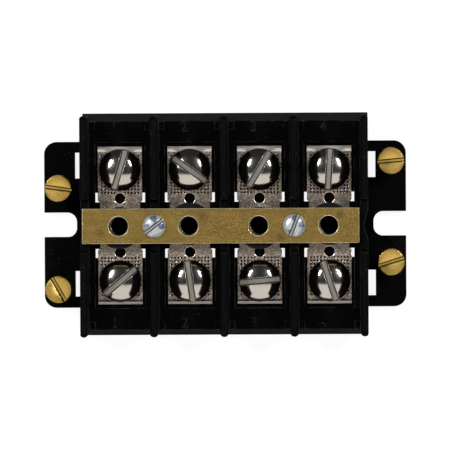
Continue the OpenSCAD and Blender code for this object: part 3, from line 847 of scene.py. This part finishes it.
class STRIP_OT_moulding(bpy.types.Operator):
    """Finishes the moulding and sets the pole numbers on it"""

    bl_idname = "terminal_strip.moulding"
    bl_label = "Moulding"

    def execute(self, context):
        settings = context.scene.terminal_strip.moulding
        black = moulding_material(settings)
        dress("base", black)
        for number in POLES:
            for side in (-1, 1):
                name = f"numeral_{number}_{'upper' if side > 0 else 'lower'}"
                text = bpy.data.curves.new(name, "FONT")
                text.body = str(number)
                text.size = settings.numeral_height / DIGIT_SHARE
                text.align_x = text.align_y = "CENTER"
                text.extrude = settings.numeral_relief
                text.resolution_u = 4
                carrier = bpy.data.objects.new(name, text)
                bm = bmesh.new()
                bm.from_mesh(carrier.to_mesh())
                bpy.data.objects.remove(carrier)
                bpy.data.curves.remove(text)
                bmesh.ops.remove_doubles(bm, verts=bm.verts, dist=SAME_POINT)
                x = middle(f"lower_screw_{number}").x + settings.numeral_offset
                bmesh.ops.translate(bm, verts=bm.verts,
                                    vec=(x, side * settings.numeral_place, PLATE_TOP))
                bmesh.ops.recalc_face_normals(bm, faces=bm.faces)
                set_piece(name, into_mesh(name, bm, [black]), "block")
        return {"FINISHED"}


class STRIP_OT_spacers(bpy.types.Operator):
    """Finishes the four spacers under the bar"""

    bl_idname = "terminal_strip.spacers"
    bl_label = "Spacers"

    def execute(self, context):
        sleeve = spacer_material(context.scene.terminal_strip.spacers)
        for number in POLES:
            dress(f"spacer_{number}", sleeve)
        return {"FINISHED"}


class STRIP_OT_plates(bpy.types.Operator):
    """Makes the four terminal plates with their pressed pits"""

    bl_idname = "terminal_strip.plates"
    bl_label = "Terminal plates"

    def execute(self, context):
        settings = context.scene.terminal_strip.plates
        first = Vector((middle("terminal_plate_1").x, 0, PLATE_TOP))
        bm = merged_copy("terminal_plate_1", first)
        small = [edge for edge in sharp_edges(bm)
                 if all(abs(v.co.z) < ON_TOP and abs(v.co.x) < SMALL_HOLE_REACH
                        and abs(abs(v.co.y) - SMALL_HOLES) < SMALL_HOLE_REACH
                        for v in edge.verts)]
        soften(bm, small, settings.hole_radius, segments=3)
        soften(bm, [edge for edge in sharp_edges(bm, angle=60)
                    if max(v.co.z for v in edge.verts) > SHEET_END
                    and max(abs(v.co.x) for v in edge.verts) > SIDE_EDGES], settings.edge_radius)
        for face in bm.faces:
            centre = face.calc_center_median()
            outward = face.normal.y * math.copysign(1, centre.y)
            cut_side = abs(face.normal.x) > 0.8 and abs(centre.x) > SIDE_EDGES
            cut_end = outward > 0.6 and face.normal.z > 0.4
            face.material_index = SHEARED if cut_side or cut_end else 0
        pits = bmesh.new()
        radius, pitch = settings.pit_diameter / 2, settings.pit_pitch
        for row in range(settings.pit_rows):
            y = settings.pit_start + row * pitch
            for column in range(settings.pit_columns):
                x = (column - (settings.pit_columns - 1) / 2) * pitch
                beside_hole = row == 0 and abs(x) < pitch
                in_hole = math.hypot(x, y - SCREW_HOLES) < SCREW_HOLE_REACH
                if beside_hole or in_hole or y > PITS_END:
                    continue
                for side in (-1, 1):  # a cutter stands out above the plate
                    bmesh.ops.create_cone(
                        pits, cap_ends=True, segments=8, radius1=0.3 * radius,
                        radius2=1.3 * radius, depth=1.4 * settings.pit_depth,
                        matrix=Matrix.Translation((x, side * y, -0.3 * settings.pit_depth)))
        for face in pits.faces:
            face.material_index = PIT
        finishes = [plate_material(settings), pit_material(), sheared_material(settings)]
        mesh = into_mesh("terminal_plate", carve(bm, pits, finishes), finishes, smooth=24)
        for face in mesh.polygons:
            face.use_smooth = abs(face.normal.z) < LEVEL
        for number in POLES:
            node = f"terminal_plate_{number}"
            copy = mesh.copy()
            copy.transform(Matrix.Translation((middle(node).x, 0, PLATE_TOP)))
            set_piece(f"plate_{number}", copy, "block", (node,))
        bpy.data.meshes.remove(mesh)
        return {"FINISHED"}


class STRIP_OT_wire_screws(bpy.types.Operator):
    """Makes the eight wire screws"""

    bl_idname = "terminal_strip.wire_screws"
    bl_label = "Wire screws"

    def execute(self, context):
        settings = context.scene.terminal_strip.wire_screws
        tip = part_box("lower_screw_1")[0][2] - PLATE_TOP
        below = ((settings.head_diameter / 2, settings.rim_height / 3), (FOOT_RADIUS, 0),
                 (RECESS_RADIUS, 0), (RECESS_RADIUS, RECESS_DEPTH), (0, RECESS_DEPTH))
        bm = domed_head(settings, below, segments=112)
        slot_and_thread(bm, settings, top=0.4 * MM, tip=tip)
        finishes = [
            polished_material(settings),
            cut_material("sawn_nickel", settings.slot_colour, 0.25, settings.slot_width),
            thread_material("nickel_thread", shade(settings.colour, 0.8), 0.3)]
        nodes = [f"{row}_screw_{number}" for row in ("upper", "lower") for number in POLES]
        set_screws("wire_screw", bm, finishes, nodes, UPPER_TURNS + LOWER_TURNS, PLATE_TOP)
        return {"FINISHED"}


class STRIP_OT_bar(bpy.types.Operator):
    """Makes the brass shorting bar"""

    bl_idname = "terminal_strip.bar"
    bl_label = "Shorting bar"

    def execute(self, context):
        settings = context.scene.terminal_strip.bar
        bm = merged_copy("shorting_bar", Vector((0, 0, 0)))
        soften(bm, sharp_edges(bm, angle=60), settings.edge_radius)
        stains = [((x * MM, y * MM, BAR_TOP), size * MM)
                  for x, y, size in ((-4.9, 2.3, 1.7), (26.4, 2.5, 1.6), (-28.1, -1.4, 1.5),
                                     (12.8, -2.6, 1.3))]
        for face in bm.faces:
            centre = face.calc_center_median()
            in_hole = abs(centre.x) < BAR_HOLES[0] and abs(centre.y) < BAR_HOLES[1]
            # Slanted faces of the softened edges are painted near white, a painted highlight
            if UPRIGHT < abs(face.normal.z) < NEARLY_LEVEL:
                face.material_index = EDGE_HIGHLIGHT
            # Upright walls of the holes are painted near black, a painted shade
            elif in_hole and abs(face.normal.z) < UPRIGHT:
                face.material_index = HOLE_SHADE
        mesh = into_mesh("shorting_bar", bm, [
            bar_material(settings, stains),
            # Near-black hole walls: painted shade
            drilled_material("hole_shade_brass", (0.05, 0.036, 0.02), 1),
            # Near-white slanted faces: painted highlight
            drilled_material("edge_highlight_brass", (0.95, 0.86, 0.62), 0.3)])
        set_piece("bar", mesh, "block", ("shorting_bar",), flat=True)
        return {"FINISHED"}


class STRIP_OT_bar_screws(bpy.types.Operator):
    """Makes the two zinc screws that hold the bar"""

    bl_idname = "terminal_strip.bar_screws"
    bl_label = "Bar screws"

    def execute(self, context):
        settings = context.scene.terminal_strip.bar_screws
        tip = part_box("bar_screw_1")[0][2] - BAR_TOP
        bm = domed_head(settings, ((settings.head_diameter / 2, 0), (0, 0)), segments=72)
        slot_and_thread(bm, settings, top=0.2 * MM, tip=tip)
        patches = []
        for number, x, y, size in ((1, 0.0, 1.7, 1.1), (1, 1.7, 0.0, 0.9), (1, -1.4, 0.2, 0.7),
                                   (2, 0.2, 1.6, 1.0), (2, 1.6, 0.3, 0.9), (2, -0.9, -1.4, 0.7)):
            centre = seat(f"bar_screw_{number}", BAR_TOP + 0.8 * settings.head_height)
            patches.append(((centre.x + x * MM, centre.y + y * MM, centre.z), size * MM))
        finishes = [
            zinc_material(settings, patches),
            cut_material("sawn_zinc", shade(settings.colour, 0.9), 0.32, settings.slot_width),
            thread_material("zinc_thread", shade(settings.colour, 0.8), 0.35)]
        set_screws("bar_fixing", bm, finishes, ("bar_screw_1", "bar_screw_2"), BAR_SCREW_TURNS,
                   BAR_TOP, "block")
        return {"FINISHED"}


class STRIP_OT_shorting_screws(bpy.types.Operator):
    """Makes the four brass screws that wait in the flanges"""

    bl_idname = "terminal_strip.shorting_screws"
    bl_label = "Shorting screws"

    def execute(self, context):
        settings = context.scene.terminal_strip.shorting_screws
        low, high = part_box("shorting_screw_1")
        height, radius = settings.head_height, settings.head_diameter / 2
        chamfer, base = settings.head_chamfer, high[2] - height
        tip = low[2] - base
        bm = cheese_head(((0, height), (radius - chamfer, height), (radius, height - chamfer),
                          (radius, 0.1 * MM), (radius - 0.1 * MM, 0), (0, 0)))
        slot_and_thread(bm, settings, top=0.2 * MM, tip=tip)
        finishes = [
            turned_brass_material(settings),
            cut_material("sawn_brass", shade(settings.colour, 0.75), 0.34, settings.slot_width),
            thread_material("brass_thread", settings.colour, 0.28)]
        nodes = [f"shorting_screw_{number}" for number in POLES]
        set_screws("stored_screw", bm, finishes, nodes, SHORTING_TURNS, base)
        return {"FINISHED"}


def aimed(place, target, up):
    """Matrix of a lamp or camera at a place that looks at a target, upright along up."""
    back = (place - target).normalized()
    right = up.cross(back).normalized()
    turn = Matrix((right, back.cross(right), back)).transposed().to_4x4()
    return Matrix.Translation(place) @ turn


def add_lamp(name, azimuth, elevation, size, glow, colour, shape):
    """A lamp of even brightness, at an azimuth from +X and an elevation in degrees."""
    data = bpy.data.lights.new(name, "AREA")
    data.shape = shape
    data.size, data.size_y = size
    full = 0.25 * math.pi if shape == "ELLIPSE" else 1.0
    data.energy = glow * math.pi * full * size[0] * size[1]
    data.color = colour
    lamp = bpy.data.objects.new(name, data)
    bpy.context.scene.collection.objects.link(lamp)
    a, e = math.radians(azimuth), math.radians(elevation)
    place = Vector((math.cos(a) * math.cos(e), math.sin(a) * math.cos(e), math.sin(e)))
    lamp.matrix_world = aimed(place * LAMP_DISTANCE, Vector((0, 0, 0)), Vector((0, 1, 0)))
    lamp.visible_camera = False


class STRIP_OT_stage(bpy.types.Operator):
    """Makes the floor, the lamps, the surroundings and the camera"""

    bl_idname = "terminal_strip.stage"
    bl_label = "Stage"

    def execute(self, context):
        settings = context.scene.terminal_strip.stage
        bm = bmesh.new()
        bmesh.ops.create_circle(bm, cap_ends=True, segments=96, radius=FLOOR_RADIUS)
        mesh = bpy.data.meshes.new("floor")
        bm.to_mesh(mesh)
        bm.free()
        floor = bpy.data.objects.new("floor", mesh)
        context.scene.collection.objects.link(floor)
        mesh.materials.append(floor_material(settings.floor_colour, settings.floor_glow))
        mesh.transform(Matrix.Translation((0, 0, -FLOOR_GAP)))

        for side in (-1, 1):
            add_lamp("softbox", 90 - side * SOFTBOX_SPREAD, SOFTBOX_ELEVATION, SOFTBOX_SIZE,
                     settings.box_glow, (1, 1, 1), "ELLIPSE")
        add_lamp("card", -90, CARD_ELEVATION, CARD_SIZE, settings.card_glow, CREAM, "RECTANGLE")

        world = bpy.data.worlds.new("studio")
        world.use_nodes = True
        context.scene.world = world
        backdrop = world.node_tree.nodes["Background"]
        backdrop.inputs["Color"].default_value = SURROUNDINGS

        camera = bpy.data.objects.new("camera", bpy.data.cameras.new("camera"))
        context.scene.collection.objects.link(camera)
        context.scene.camera = camera
        distance = settings.camera_distance
        camera.data.sensor_width = SENSOR_WIDTH
        camera.data.lens = SENSOR_WIDTH * distance / (settings.pixel_size * IMAGE_WIDTH)
        camera.data.clip_end = 100
        place = Vector((settings.lean_x, settings.lean_y, 1)) * distance
        target = Vector((*IMAGE_MIDDLE, 0)) * settings.pixel_size
        up = Vector((math.sin(settings.roll), math.cos(settings.roll), 0))
        camera.matrix_world = aimed(place, target, up)
        context.scene.view_settings.view_transform = "Standard"
        return {"FINISHED"}


class STRIP_PT_sidebar(bpy.types.Panel):
    """Sizes, colours and operators of the terminal strip"""

    bl_label = "Terminal Strip"
    bl_space_type = "VIEW_3D"
    bl_region_type = "UI"
    bl_category = "Terminal Strip"

    def draw(self, context):
        strip = context.scene.terminal_strip
        for operator in OPERATORS:
            box = self.layout.box()
            box.operator(operator.bl_idname)
            settings = getattr(strip, operator.bl_idname.split(".")[1])
            for name in settings.__annotations__:
                box.prop(settings, name)


GROUPS = (MouldingSettings, SpacerSettings, PlateSettings, WireScrewSettings, BarSettings,
          BarScrewSettings, ShortingScrewSettings, StageSettings, StripSettings)
OPERATORS = (STRIP_OT_moulding, STRIP_OT_spacers, STRIP_OT_plates, STRIP_OT_wire_screws,
             STRIP_OT_bar, STRIP_OT_bar_screws, STRIP_OT_shorting_screws, STRIP_OT_stage)


def register():
    for made in (*GROUPS, *OPERATORS, STRIP_PT_sidebar):
        bpy.utils.register_class(made)
    bpy.types.Scene.terminal_strip = PointerProperty(type=StripSettings)


def unregister():
    del bpy.types.Scene.terminal_strip
    for made in (STRIP_PT_sidebar, *reversed(OPERATORS), *reversed(GROUPS)):
        bpy.utils.unregister_class(made)


def main():
    register()
    bpy.ops.terminal_strip.moulding()
    bpy.ops.terminal_strip.spacers()
    bpy.ops.terminal_strip.plates()
    bpy.ops.terminal_strip.wire_screws()
    bpy.ops.terminal_strip.bar()
    bpy.ops.terminal_strip.bar_screws()
    bpy.ops.terminal_strip.shorting_screws()
    bpy.ops.terminal_strip.stage()


if __name__ == "__main__":
    main()
